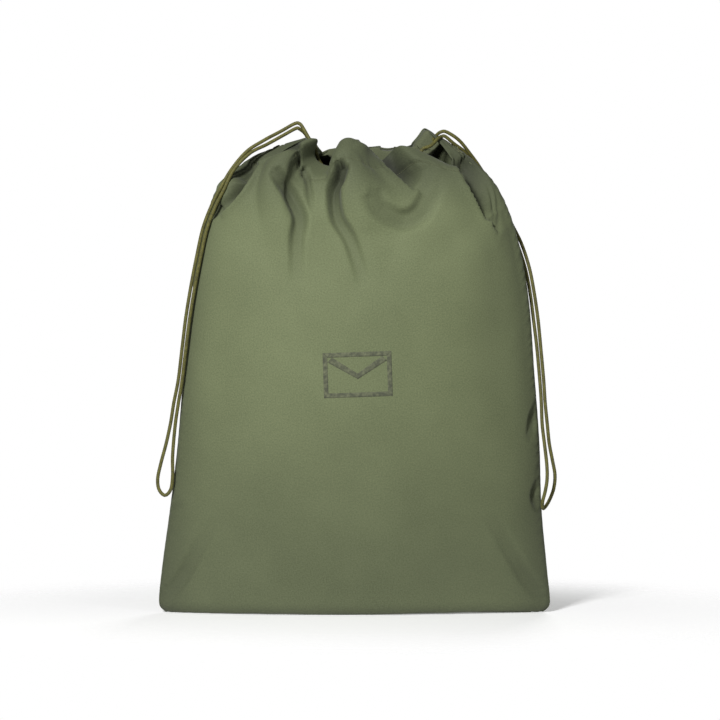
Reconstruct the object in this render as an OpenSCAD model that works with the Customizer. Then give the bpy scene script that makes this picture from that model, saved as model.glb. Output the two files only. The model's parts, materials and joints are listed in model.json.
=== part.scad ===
// Drawstring mail sack: two cloth panels sewn at the sides and the bottom, a turned casing along each top edge,
// and two closed drawcords, one pulled out at each end of the mouth. The sack stands on its flattened base,
// filled out and drawn shut, with its printed front towards -Y.

/* [Sack] */
// Width across the bottom corners
sack_w = 608; // [540:1:680]
// Height from the base to the hem of the mouth
sack_h = 735; // [700:1:770]
// Greatest depth, front to back
sack_d = 197; // [180:1:220]
// Thickness of the cloth
cloth_t = 1.5; // [1:0.1:2]

/* [Mouth] */
// Sideways shift of the drawn mouth from the middle of the sack
mouth_shift = 24; // [20:1:28]
// Length of the casings along the drawn mouth
casing_l = 148; // [140:1:150]
// Height of the casings, from the hem to the stitch row
casing_h = 43; // [40:1:46]
// Gap between the front and back casings
mouth_gap = 18; // [16:1:18]
// Depth of the gathers at the hem
gather_d = 11; // [4:1:12]
// Number of gathers across each panel
gathers = 5; // [4:1:6]

/* [Drawcords] */
// Diameter of the braided cord
cord_d = 5.5; // [5:0.5:6]
// Distance of the cords from the middle of the mouth
cord_y = 16; // [15.5:0.5:16.5]
// Height of the left cord inside the casings
left_cord_z = 727; // [726:1:728]
// Height of the right cord inside the casings
right_cord_z = 719; // [718:1:720]

/* [Sewing] */
// Width of the seam allowances
allowance_w = 10; // [8:1:12]
// Length of one stitch
stitch_l = 7; // [5:1:8]
// Spacing of the stitches
stitch_pitch = 12; // [11:1:14]
// Thickness of the sewing thread
thread_t = 0.7; // [0.5:0.1:0.8]

/* [Printed mark] */
// Width of the printed envelope
mark_w = 104; // [80:1:110]
// Height of the printed envelope
mark_h = 68; // [50:1:72]
// Width of the printed lines
mark_line = 7; // [5:1:8]
// Height of the middle of the mark above the base
mark_z = 369; // [350:1:390]

/* [Hidden] */

cloth = [0.40, 0.44, 0.30];
cloth_inside = [0.34, 0.38, 0.26];
thread = [0.30, 0.33, 0.20];
braid = [0.42, 0.40, 0.20];
ink = [0.23, 0.25, 0.20];

// The filled sack at chosen heights, for a sack of unit width, height and depth:
// [height, left edge, right edge, half depth, how pointed the section is, half width of the side opening].
// The edges are shares of half the width, the half depth a share of half the depth.
outline = [
    [0.000, -0.963, 0.963, 0.46, 1.50, 3],
    [0.019, -1.000, 1.000, 0.55, 1.50, 2],
    [0.095, -0.984, 0.984, 0.69, 1.45, 0],
    [0.218, -0.944, 0.957, 0.83, 1.35, 0],
    [0.354, -0.905, 0.947, 0.92, 1.30, 0],
    [0.503, -0.875, 0.921, 0.97, 1.25, 0],
    [0.653, -0.836, 0.895, 1.00, 1.20, 0],
    [0.776, -0.796, 0.845, 0.91, 1.10, 0],
    [0.871, -0.730, 0.766, 0.76, 1.00, 0],
    [0.932, -0.612, 0.664, 0.61, 0.80, 1],
    [0.970, -0.477, 0.543, 0.50, 0.60, 20],
    [1.000, -0.263, 0.428, 0.44, 0.50, 24]
];
outline_end = len(outline) - 1;
seam_gap = 1.8;      // from the middle plane to a panel's edge
seam_t = 3;          // thickness of the folded seam allowances
base_rows = 1;       // rows of facets under the sack
wall_rows = 40;      // rows of facets up the wall
columns = 32;        // facets across a panel
gather_start = 0.70; // height share at which the gathers begin
edge_share = 0.06;   // share of each end of a panel in which the gathers fade out

splice_l = 16;
splice_wall = 1.2;
run_end = 20;        // how far past the middle of the mouth the inner cord runs reach
run_gap = 0.5;       // clearance between a cord run and its far turn
tube_sides = 8;
lead_rings = 10;
loop_rings = 76;
mark_t = 0.4;
mark_proud = 0.5;      // clearance between the ink layer and the facets of the cloth
mark_x = 5;
mark_tilt = 2;

mouth_left = mouth_shift - casing_l / 2;
mouth_right = mouth_shift + casing_l / 2;

// The left cord from the casing to the swing point: its upper strand, then its lower strand.
left_lead_upper = [[-62, -16, 727], [-69, -15, 732], [-74, -12, 740], [-79, -9, 749], [-85, -5, 757]];
left_lead_lower = [[-62, 16, 727], [-68, 15, 731], [-73, 11, 737], [-78, 5, 744], [-85, -1, 749]];

// The left cord from the swing point over the shoulder, down the left side, round its loop and back.
left_loop_route = [
    [-93, -5, 757], [-114, -8, 745], [-140, -17, 730], [-166, -26, 712], [-189, -32, 684],
    [-205, -36, 656], [-220, -35, 627], [-233, -32, 593], [-243, -29, 549], [-252, -25, 504],
    [-260, -23, 456], [-266, -21, 408], [-272, -18, 360], [-279, -16, 325], [-284, -15, 294],
    [-291, -14, 262], [-299, -14, 232], [-304, -14, 208], [-302, -14, 191], [-293, -14, 182],
    [-284, -14, 191], [-281, -14, 212], [-281, -14, 244], [-277, -15, 290], [-272, -16, 324],
    [-266, -18, 360], [-260, -22, 408], [-254, -24, 454], [-246, -27, 502], [-237, -31, 547],
    [-227, -34, 591], [-214, -37, 625], [-200, -39, 653], [-185, -37, 683], [-161, -29, 709],
    [-135, -17, 724], [-110, -7, 739], [-91, -2, 750]
];

// The right cord from the casing to the swing point: its upper strand, then its lower strand.
right_lead_upper = [[108, 16, 719], [115, 16, 724], [121, 13, 732], [127, 8, 740], [134, 3, 745]];
right_lead_lower = [[108, -16, 719], [116, -15, 721], [123, -11, 727], [129, -4, 734], [135, 3, 738]];

// The right cord from the swing point behind the shoulder, down the right side, round its loop and back.
right_loop_route = [
    [143, 3, 745], [162, 7, 733], [180, 19, 713], [198, 33, 690], [214, 36, 662],
    [231, 34, 633], [247, 27, 601], [261, 20, 571], [272, 13, 535], [279, 9, 498],
    [285, 6, 455], [289, 1, 410], [293, -5, 360], [295, -9, 325], [298, -12, 292],
    [301, -13, 262], [306, -12, 236], [310, -11, 213], [308, -11, 192], [301, -13, 174],
    [294, -19, 164], [290, -27, 163], [289, -34, 173], [293, -36, 190], [296, -33, 208],
    [296, -28, 230], [293, -20, 262], [290, -14, 292], [289, -10, 325], [287, -5, 360],
    [283, 1, 410], [278, 6, 455], [273, 10, 496], [266, 14, 533], [255, 22, 569],
    [242, 30, 599], [226, 37, 629], [209, 39, 658], [195, 38, 689], [174, 22, 714],
    [154, 9, 728], [141, 3, 738]
];

// A smooth curve through a list of points or rows, at position t counted in steps of the list.
function spline(list, t) =
    let (i = max(0, min(floor(t), len(list) - 2)), f = t - i,
         a = list[max(i - 1, 0)], b = list[i], c = list[i + 1], d = list[min(i + 2, len(list) - 1)])
    0.5 * (2 * b + (c - a) * f + (2 * a - 5 * b + 4 * c - d) * f * f + (3 * b - a - 3 * c + d) * f * f * f);

function unit(v) = v / norm(v);

// How far the gathers have grown at a height share, from 0 to 1.
function gather_share(h) = pow(max(0, (h - gather_start) / (1 - gather_start)), 1.5);

// A point on the outside of a panel. across runs from -1 to 1, and up counts rows of the outline.
function wall_point(across, up) =
    let (row = spline(outline, up),
         left = row[1] * sack_w / 2, right = row[2] * sack_w / 2,
         opening = max(0, row[5]), deep = row[3] * sack_d / 2,
         fade = min(1, (1 - abs(across)) / edge_share / 2),
         gather = gather_d * gather_share(row[0]) * fade * (1 - cos(360 * gathers * (across + 1) / 2)) / 2)
    [(left + right) / 2 + (right - left) / 2 * sin(90 * across),
     seam_gap + opening + (deep - opening) * pow(max(0, cos(90 * across)), row[4]) + gather,
     row[0] * sack_h];

// The flat base is reached below row 0 of the outline: there up runs from -1, at the bottom seam, to 0.
function shell_point(across, up) =
    let (wall = wall_point(across, max(0, up)))
    up >= 0 ? wall : [wall[0], seam_gap + (wall[1] - seam_gap) * (up + 1), 0];

// The outward direction of a panel at a point.
function shell_normal(across, up) =
    let (small = 0.02, a = max(-1, across - small), b = min(1, across + small),
         c = max(-1, up - small), d = min(outline_end, up + small))
    unit(cross(shell_point(across, d) - shell_point(across, c), shell_point(b, up) - shell_point(a, up)));

// The same point on the inside of the cloth. The ends of a panel stay square to the seam.
function inner_point(across, up) =
    let (n = shell_normal(across, up), p = shell_point(across, up) - cloth_t * n)
    [p[0], max(seam_gap, p[1]), up <= -1 ? cloth_t : up >= outline_end ? sack_h : max(cloth_t, p[2])];

// A closed skin between two grids of points with the same number of rows and columns.
module skin(outside, inside) {
    rows = len(outside);
    cols = len(outside[0]);
    count = rows * cols;
    function at(r, c) = r * cols + c;
    points = concat([for (row = outside) each row], [for (row = inside) each row]);
    faces = concat(
        [for (r = [0 : rows - 2], c = [0 : cols - 2]) each [
            [at(r, c), at(r + 1, c), at(r + 1, c + 1)],
            [at(r, c), at(r + 1, c + 1), at(r, c + 1)],
            [count + at(r, c), count + at(r + 1, c + 1), count + at(r + 1, c)],
            [count + at(r, c), count + at(r, c + 1), count + at(r + 1, c + 1)]]],
        [for (r = [0 : rows - 2]) each [
            [at(r, 0), count + at(r, 0), count + at(r + 1, 0)],
            [at(r, 0), count + at(r + 1, 0), at(r + 1, 0)],
            [at(r, cols - 1), count + at(r + 1, cols - 1), count + at(r, cols - 1)],
            [at(r, cols - 1), at(r + 1, cols - 1), count + at(r + 1, cols - 1)]]],
        [for (c = [0 : cols - 2]) each [
            [at(0, c), count + at(0, c + 1), count + at(0, c)],
            [at(0, c), at(0, c + 1), count + at(0, c + 1)],
            [at(rows - 1, c), count + at(rows - 1, c), count + at(rows - 1, c + 1)],
            [at(rows - 1, c), count + at(rows - 1, c + 1), at(rows - 1, c + 1)]]]);
    polyhedron(points = points, faces = faces, convexity = 6);
}

// A panel on the +Y side, from the bottom seam under the sack and up the wall to the hem.
module panel() {
    ups = concat([for (i = [0 : base_rows - 1]) -1 + i / base_rows],
                 [for (i = [0 : wall_rows]) outline_end * i / wall_rows]);
    skin([for (up = ups) [for (c = [0 : columns]) shell_point(2 * c / columns - 1, up)]],
         [for (up = ups) [for (c = [0 : columns]) inner_point(2 * c / columns - 1, up)]]);
}

// A round bar swept through a list of points, with its section turned about a fixed direction.
module swept(points, diameter, about) {
    last = len(points) - 1;
    rings = [for (i = [0 : last])
        let (along = unit(points[min(i + 1, last)] - points[max(i - 1, 0)]),
             side = unit(cross(about, along)), over = cross(along, side))
        [for (k = [0 : tube_sides - 1])
            points[i] + diameter / 2 * (cos(360 * k / tube_sides) * side + sin(360 * k / tube_sides) * over)]];
    faces = concat(
        [[for (k = [0 : tube_sides - 1]) k]],
        [for (i = [0 : last - 1], k = [0 : tube_sides - 1])
            let (a = i * tube_sides + k, b = i * tube_sides + (k + 1) % tube_sides)
            each [[a, a + tube_sides, b + tube_sides], [a, b + tube_sides, b]]],
        [[for (k = [tube_sides - 1 : -1 : 0]) last * tube_sides + k]]);
    polyhedron(points = [for (ring = rings) each ring], faces = faces, convexity = 8);
}

function resample(route, rings) = [for (i = [0 : rings - 1]) spline(route, (len(route) - 1) * i / (rings - 1))];

module cord_along(route, rings) {
    color(braid) swept(resample(route, rings), cord_d, [0, 1, 0]);
}

// The side away from the viewer's front is the one modelled, so the front is its mirror.
module front() {
    mirror([0, 1, 0]) children();
}

module front_panel() {
    color(cloth) front() panel();
}

module back_panel() {
    color(cloth) panel();
}

// The turned top hem of a panel, on the +Y side: a flap from the hem, down beside the mouth,
// and out to the stitch row.
module casing() {
    inner = mouth_gap / 2;
    outer = inner + cloth_t;
    bend_z = sack_h - 23;
    foot_y = 42;
    foot_z = sack_h - casing_h;
    flap_y = 23;
    translate([mouth_left, 0, 0])
        rotate([90, 0, 90])
            linear_extrude(casing_l)
                polygon([
                    [inner, sack_h - 1], [flap_y, sack_h - 1], [flap_y, sack_h - 1 - cloth_t],
                    [outer, sack_h - 1 - cloth_t], [outer, bend_z], [foot_y, foot_z + cloth_t],
                    [foot_y, foot_z], [inner, bend_z - cloth_t]
                ]);
}

module front_casing() {
    color(cloth_inside) front() casing();
}

module back_casing() {
    color(cloth_inside) casing();
}

function edge_x(side, up) = spline(outline, up)[side < 0 ? 1 : 2] * sack_w / 2;
function edge_z(up) = spline(outline, up)[0] * sack_h;

// The folded allowances of a side seam, inside the edge from the base to the cord opening.
module side_seam(side) {
    rows = 26;
    first = 0.4;
    last = 8.9;
    ups = [for (i = [0 : rows]) first + (last - first) * i / rows];
    half = seam_t / 2;
    function corner(up, inset, y) = [edge_x(side, up) - side * inset, y * side, edge_z(up)];
    color(cloth)
        skin([for (up = ups) [corner(up, allowance_w, half), corner(up, 0.2, half)]],
             [for (up = ups) [corner(up, allowance_w, -half), corner(up, 0.2, -half)]]);
}

module left_side_seam() {
    side_seam(-1);
}

module right_side_seam() {
    side_seam(1);
}

// The folded allowances of the bottom seam, standing up inside the base.
module bottom_seam() {
    length = sack_w - 60;
    color(cloth)
        translate([-length / 2, -seam_t / 2, 0])
            cube([length, seam_t, allowance_w]);
}

module stitch() {
    color(thread)
        translate([-thread_t / 2, 0, -stitch_l / 2])
            cube([thread_t, thread_t, stitch_l]);
}

// A row of stitches through the allowances of a side seam.
module side_stitching(side) {
    stitch_inset = 0.7;
    first_z = 24;
    last_z = sack_h - 75;
    count = floor((last_z - first_z) / stitch_pitch);
    for (i = [0 : count]) {
        z = first_z + i * stitch_pitch;
        x = lookup(z, [for (k = [0 : 110]) [edge_z(k / 10), edge_x(side, k / 10)]]);
        translate([x - side * allowance_w * stitch_inset, -seam_t / 2 - thread_t, z])
            stitch();
    }
}

module left_side_stitching() {
    side_stitching(-1);
}

module right_side_stitching() {
    side_stitching(1);
}

module bottom_stitching() {
    half = floor((sack_w / 2 - 40) / stitch_pitch);
    for (i = [-half : half])
        translate([i * stitch_pitch, -seam_t / 2 - thread_t, allowance_w * 0.7])
            rotate([0, 90, 0])
                stitch();
}

// The row of stitches that closes a casing, on the outside of the +Y panel.
module casing_stitching() {
    up = 9.0;
    proud = 1.1;
    reach = 0.52;
    count = 13;
    for (i = [-count : count]) {
        across = reach * i / count;
        p = shell_point(across, up) + proud * shell_normal(across, up);
        q = shell_point(across + 0.01, up) - shell_point(across - 0.01, up);
        translate(p)
            rotate([0, 0, atan2(q[1], q[0])])
                rotate([0, 90, 0])
                    stitch();
    }
}

module front_casing_stitching() {
    front() casing_stitching();
}

module back_casing_stitching() {
    casing_stitching();
}

// The dense stitches across the top end of a side seam, one block below each cord opening.
module bar_tacks(side) {
    up = 8.7;
    tack = [1.6, 9, 3];
    for (step = [0, 6])
        color(thread)
            translate([edge_x(side, up) + side * (1.4 + step) - tack[0] / 2, -tack[1] / 2, edge_z(up) - step])
                cube(tack);
}

module left_bar_tacks() {
    bar_tacks(-1);
}

module right_bar_tacks() {
    bar_tacks(1);
}

// A place on the front of the sack, given as distances along X and Z, as [across, up] on the panel.
function place(x, z) =
    let (up = lookup(z, [for (k = [0 : 10 * outline_end]) [edge_z(k / 10), k / 10]]), row = spline(outline, up))
    [asin((2 * x / sack_w - (row[1] + row[2]) / 2) / ((row[2] - row[1]) / 2)) / 90, up];

// A printed stroke between four corners, each [x, z] from the middle of the mark: start left and right, end left and right.
module stroke(start_left, start_right, end_left, end_right) {
    steps = 6;
    function turned(p) = [
        mark_x + p[0] * cos(mark_tilt) - p[1] * sin(mark_tilt),
        mark_z + p[0] * sin(mark_tilt) + p[1] * cos(mark_tilt)
    ];
    function at(a, b, f, lift) =
        let (p = turned(a + (b - a) * f), q = place(p[0], p[1]))
        shell_point(q[0], q[1]) + lift * shell_normal(q[0], q[1]);
    run = end_left - start_left;
    over = start_right - start_left;
    swap = run[0] * over[1] - run[1] * over[0] > 0;
    function grid(lift) = [for (i = [0 : steps])
        let (left = at(start_left, end_left, i / steps, lift), right = at(start_right, end_right, i / steps, lift))
        swap ? [right, left] : [left, right]];
    front() skin(grid(mark_proud + mark_t), grid(mark_proud));
}

// A closed envelope: a frame of four mitred strokes and the two fold lines of its flap.
module printed_mark() {
    a = [mark_w / 2, mark_h / 2];
    b = a - [mark_line, mark_line];
    cut = 0.2;
    tip = -mark_h * 0.10;
    color(ink) {
        for (s = [-1, 1]) {
            stroke([-b[0] + cut, s * b[1]], [-a[0] + cut, s * a[1]], [b[0] - cut, s * b[1]], [a[0] - cut, s * a[1]]);
            stroke([s * b[0], -b[1] + cut], [s * a[0], -a[1] + cut], [s * b[0], b[1] - cut], [s * a[0], a[1] - cut]);
            stroke([s * cut, tip], [s * cut, tip + mark_line * 1.2],
                   [s * (b[0] - cut), b[1] - mark_line], [s * (b[0] - mark_line), b[1] - cut]);
        }
    }
}

// The two straight strands of a cord inside the front and back casings, from one end of the mouth.
module cord_run(side, z) {
    start = side < 0 ? left_lead_upper[0][0] : right_lead_upper[0][0];
    length = abs(mouth_shift - side * run_end - start);
    color(braid)
        for (y = [-cord_y, cord_y])
            translate([start, y, z])
                rotate([0, -90 * side, 0])
                    cylinder(h = length, d = cord_d, $fn = 32);
}

// The sewn splice that closes the cord, round its front strand.
module cord_splice(side, z) {
    middle = mouth_shift - side * (run_end - splice_l - 2);
    color(thread)
        translate([middle, -cord_y, z])
            rotate([0, -90 * side, 0])
                difference() {
                    cylinder(h = splice_l, d = cord_d + 2 * splice_wall, $fn = 32);
                    translate([0, 0, -1])
                        cylinder(h = splice_l + 2, d = cord_d, $fn = 32);
                }
}

// The rest of the cord inside the casings: on from the runs and round the far end of the mouth.
module cord_far_turn(side, z) {
    bend_x = side < 0 ? mouth_right - 4 : mouth_left + 4;
    start = mouth_shift - side * (run_end + run_gap);
    color(braid) {
        for (y = [-cord_y, cord_y])
            translate([start, y, z])
                rotate([0, -90 * side, 0])
                    cylinder(h = abs(bend_x - start), d = cord_d, $fn = 32);
        translate([bend_x, 0, z])
            rotate([0, 0, side < 0 ? -90 : 90])
                rotate_extrude(angle = 180, $fn = 64)
                    translate([cord_y, 0])
                        circle(d = cord_d, $fn = 32);
    }
}

module left_cord_run() {
    cord_run(-1, left_cord_z);
}

module left_cord_splice() {
    cord_splice(-1, left_cord_z);
}

module left_cord_far_turn() {
    cord_far_turn(-1, left_cord_z);
}

module left_cord_lead() {
    cord_along(left_lead_upper, lead_rings);
    cord_along(left_lead_lower, lead_rings);
}

module left_cord_loop() {
    cord_along(left_loop_route, loop_rings);
}

module right_cord_run() {
    cord_run(1, right_cord_z);
}

module right_cord_splice() {
    cord_splice(1, right_cord_z);
}

module right_cord_far_turn() {
    cord_far_turn(1, right_cord_z);
}

module right_cord_lead() {
    cord_along(right_lead_upper, lead_rings);
    cord_along(right_lead_lower, lead_rings);
}

module right_cord_loop() {
    cord_along(right_loop_route, loop_rings);
}

front_panel();
back_panel();
front_casing();
back_casing();
left_side_seam();
right_side_seam();
bottom_seam();
left_side_stitching();
right_side_stitching();
bottom_stitching();
front_casing_stitching();
back_casing_stitching();
left_bar_tacks();
right_bar_tacks();
printed_mark();
left_cord_run();
left_cord_splice();
left_cord_far_turn();
left_cord_lead();
left_cord_loop();
right_cord_run();
right_cord_splice();
right_cord_far_turn();
right_cord_lead();
right_cord_loop();
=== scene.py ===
# Drawstring mail sack: cloth, cords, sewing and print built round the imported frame, and the studio it stands in.
# Everything is in metres, in the frame's own axes: +Z up, the printed front towards -Y.
import json
import math

import bpy
import numpy as np
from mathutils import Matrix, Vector
from mathutils.bvhtree import BVHTree


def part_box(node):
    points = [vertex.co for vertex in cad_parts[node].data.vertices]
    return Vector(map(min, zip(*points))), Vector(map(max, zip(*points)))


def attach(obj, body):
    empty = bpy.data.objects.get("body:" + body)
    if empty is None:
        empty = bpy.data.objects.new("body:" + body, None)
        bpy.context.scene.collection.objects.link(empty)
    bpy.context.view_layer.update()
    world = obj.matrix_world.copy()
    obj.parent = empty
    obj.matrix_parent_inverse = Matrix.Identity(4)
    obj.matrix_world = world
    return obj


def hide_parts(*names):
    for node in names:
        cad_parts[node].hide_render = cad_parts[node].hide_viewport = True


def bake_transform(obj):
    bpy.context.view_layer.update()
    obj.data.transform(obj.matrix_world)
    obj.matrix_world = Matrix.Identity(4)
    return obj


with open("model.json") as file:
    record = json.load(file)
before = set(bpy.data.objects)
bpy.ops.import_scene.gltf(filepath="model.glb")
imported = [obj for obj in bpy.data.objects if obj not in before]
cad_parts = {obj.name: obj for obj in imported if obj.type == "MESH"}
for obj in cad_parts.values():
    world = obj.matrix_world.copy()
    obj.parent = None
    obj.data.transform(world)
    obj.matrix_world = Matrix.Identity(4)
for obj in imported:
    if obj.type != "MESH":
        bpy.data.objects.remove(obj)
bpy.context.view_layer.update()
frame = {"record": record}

MM = 0.001
scene = bpy.context.scene
panel_low, panel_high = (np.array(v, float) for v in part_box("front_panel"))
SACK_H = panel_high[2]
HALF_W = (panel_high[0] - panel_low[0]) / 2
HALF_D = 0.0985  # half the filled sack's depth where it is deepest
CORD_D = 0.0055


# ---- camera

VIEW_WIDTH = 1.117  # what the picture spans at the middle plane of the sack
VIEW_DISTANCE = 3.5
VIEW_CENTRE = Vector((0.0085, 0, 0.391))
SENSOR_MM = 36


def make_camera():
    data = bpy.data.cameras.new("camera")
    data.sensor_width = SENSOR_MM
    data.lens = SENSOR_MM * VIEW_DISTANCE / VIEW_WIDTH
    camera = bpy.data.objects.new("camera", data)
    scene.collection.objects.link(camera)
    camera.location = VIEW_CENTRE + Vector((0, -VIEW_DISTANCE, 0))
    camera.rotation_euler = (math.radians(90), 0, 0)
    scene.camera = camera


make_camera()


# ---- curves and meshes

def spline(points, t):
    """A smooth curve through a list of points or rows, at positions t counted in steps of the list."""
    points = np.asarray(points, float)
    t = np.asarray(t, float)
    i = np.clip(np.floor(t).astype(int), 0, len(points) - 2)
    f = (t - i)[..., None]
    a = points[np.maximum(i - 1, 0)]
    b = points[i]
    c = points[i + 1]
    d = points[np.minimum(i + 2, len(points) - 1)]
    return 0.5 * (2 * b + (c - a) * f + (2 * a - 5 * b + 4 * c - d) * f**2 + (3 * b - a - 3 * c + d) * f**3)


def distances(line):
    """The distance along a line to each of its points."""
    return np.r_[0, np.cumsum(np.linalg.norm(np.diff(line, axis=0), axis=1))]


def evenly(line, count):
    """The same line with its points an even distance apart."""
    gone = distances(line)
    wanted = np.linspace(0, gone[-1], count)
    return np.stack([np.interp(wanted, gone, line[:, k]) for k in range(line.shape[1])], 1)


def length_of(line):
    return float(np.linalg.norm(np.diff(line, axis=0), axis=1).sum())


def smooth(x):
    """A step from 0 to 1 as x goes from 0 to 1, with soft ends."""
    x = np.clip(x, 0, 1)
    return x * x * (3 - 2 * x)


def new_mesh(name, points, faces, shaded_smooth=True):
    mesh = bpy.data.meshes.new(name)
    mesh.from_pydata([tuple(map(float, p)) for p in points], [], faces)
    mesh.update()
    if shaded_smooth:
        mesh.polygons.foreach_set("use_smooth", [True] * len(mesh.polygons))
    piece = bpy.data.objects.new(name, mesh)
    scene.collection.objects.link(piece)
    return piece


def grid_faces(rows, columns, start=0, wrap=False):
    """The quads of a grid of points, numbered row by row."""
    faces = []
    for low in range(start, start + (rows - 1) * columns, columns):
        for c in range(columns if wrap else columns - 1):
            after = (c + 1) % columns
            faces.append((low + c, low + after, low + columns + after, low + columns + c))
    return faces


def moving_frames(line):
    """Two directions square to a line at each of its points, carried along without twist."""
    along = np.gradient(line, axis=0)
    along /= np.linalg.norm(along, axis=1)[:, None]
    side = np.cross(along[0], [0.0, 1.0, 0.0])
    side /= np.linalg.norm(side)
    sides = [side]
    for direction in along[1:]:
        side = sides[-1] - np.dot(sides[-1], direction) * direction
        sides.append(side / np.linalg.norm(side))
    sides = np.array(sides)
    return sides, np.cross(along, sides)


def round_bar(line, radius, sides, start=0):
    """Points and faces of a closed round bar along a line. The radius can differ along it and around it."""
    line = np.asarray(line, float)
    side, over = moving_frames(line)
    around = np.linspace(0, 2 * math.pi, sides, endpoint=False)
    radius = np.broadcast_to(radius, (len(line), sides))[..., None]
    ring = np.cos(around)[None, :, None] * side[:, None] + np.sin(around)[None, :, None] * over[:, None]
    faces = grid_faces(len(line), sides, start, wrap=True)
    faces.append(tuple(range(start + sides - 1, start - 1, -1)))
    faces.append(tuple(range(start + (len(line) - 1) * sides, start + len(line) * sides)))
    return (line[:, None] + radius * ring).reshape(-1, 3), faces


def bars(name, lines, radius, sides=8):
    """One mesh of closed round bars, one along each line."""
    points, faces = [], []
    for line in lines:
        bar_points, bar_faces = round_bar(line, radius, sides, sum(len(p) for p in points))
        points.append(bar_points)
        faces += bar_faces
    return new_mesh(name, np.concatenate(points), faces)


def closed_sheet(grid, normals, thickness, start=0):
    """Points and faces of a closed sheet whose outer surface is the grid, with the outward directions given."""
    rows, columns = grid.shape[:2]
    inner = grid - thickness * normals
    count = rows * columns
    quads = np.array(grid_faces(rows, columns))
    places = np.arange(count).reshape(rows, columns)
    edge = [*places[:, 0], *places[-1, 1:], *places[-2::-1, -1], *places[0, -2:0:-1]]
    rim = np.array([(a, b, b + count, a + count) for a, b in zip(edge, edge[1:] + edge[:1])])
    faces = np.concatenate([quads, quads[:, ::-1] + count, rim])
    turned = np.cross(np.gradient(grid, axis=1), np.gradient(grid, axis=0))
    if (turned * normals).sum() < 0:
        faces = faces[:, ::-1]
    return np.concatenate([grid.reshape(-1, 3), inner.reshape(-1, 3)]), faces + start


# ---- cords

# The middle line of each cord outside the mouth, in millimetres: out of the mouth, round the loop and back in.
LEFT_LEAD_UPPER = [(-62, -16, 727), (-69, -15, 732), (-74, -12, 740), (-79, -9, 749), (-85, -5, 757)]
LEFT_LEAD_LOWER = [(-62, 16, 727), (-68, 15, 731), (-73, 11, 737), (-78, 5, 744), (-85, -1, 749)]
LEFT_LOOP_ROUTE = [
    (-93, -5, 757), (-114, -8, 745), (-140, -17, 730), (-166, -26, 712), (-189, -32, 684),
    (-205, -36, 656), (-220, -35, 627), (-233, -32, 593), (-243, -29, 549), (-252, -25, 504),
    (-260, -23, 456), (-266, -21, 408), (-272, -18, 360), (-279, -16, 325), (-284, -15, 294),
    (-291, -14, 262), (-299, -14, 232), (-304, -14, 208), (-302, -14, 191), (-293, -14, 182),
    (-284, -14, 191), (-281, -14, 212), (-281, -14, 244), (-277, -15, 290), (-272, -16, 324),
    (-266, -18, 360), (-260, -22, 408), (-254, -24, 454), (-246, -27, 502), (-237, -31, 547),
    (-227, -34, 591), (-214, -37, 625), (-200, -39, 653), (-185, -37, 683), (-161, -29, 709),
    (-135, -17, 724), (-110, -7, 739), (-91, -2, 750),
]
RIGHT_LEAD_UPPER = [(108, 16, 719), (115, 16, 724), (121, 13, 732), (127, 8, 740), (134, 3, 745)]
RIGHT_LEAD_LOWER = [(108, -16, 719), (116, -15, 721), (123, -11, 727), (129, -4, 734), (135, 3, 738)]
RIGHT_LOOP_ROUTE = [
    (143, 3, 745), (162, 7, 733), (180, 19, 713), (198, 33, 690), (214, 36, 662),
    (231, 34, 633), (247, 27, 601), (261, 20, 571), (272, 13, 535), (279, 9, 498),
    (285, 6, 455), (289, 1, 410), (293, -5, 360), (295, -9, 325), (298, -12, 292),
    (301, -13, 262), (306, -12, 236), (310, -11, 213), (308, -11, 192), (301, -13, 174),
    (294, -19, 164), (290, -27, 163), (289, -34, 173), (293, -36, 190), (296, -33, 208),
    (296, -28, 230), (293, -20, 262), (290, -14, 292), (289, -10, 325), (287, -5, 360),
    (283, 1, 410), (278, 6, 455), (273, 10, 496), (266, 14, 533), (255, 22, 569),
    (242, 30, 599), (226, 37, 629), (209, 39, 658), (195, 38, 689), (174, 22, 714),
    (154, 9, 728), (141, 3, 738),
]
BRAID_SIDES = 24
BRAID_RING = 0.0009  # distance between the rings of a braided tube
BRAID_STRANDS = 6  # strands that turn each way
BRAID_LAY = 0.021  # length in which a strand goes once round the cord
BRAID_RELIEF = 0.13  # depth of the grooves, as a share of the radius
BRAID_SWELL = 1.02  # how far the strands stand out, as a share of the radius
STRAND_ROUND = 0.6  # below 1, each strand has a flatter back than a half circle
STRAND_RISE = 0.45  # how much of its height a strand gains where it crosses another
ROUTE_STEPS = 60  # points of the smooth curve for each point of a route


def braid_height(around, along):
    """How high the braid stands, 0 to 1: strands turning both ways pass over and under each other."""
    first = BRAID_STRANDS * (around / (2 * math.pi) + along / BRAID_LAY)
    second = BRAID_STRANDS * (around / (2 * math.pi) - along / BRAID_LAY)
    over = (np.floor(first) + np.floor(second)) % 2 < 1
    a = np.sin(np.pi * (first % 1))
    b = np.sin(np.pi * (second % 1))
    top, under = np.where(over, a, b), np.where(over, b, a)
    return top**STRAND_ROUND * (1 - STRAND_RISE + STRAND_RISE * under)


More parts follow.
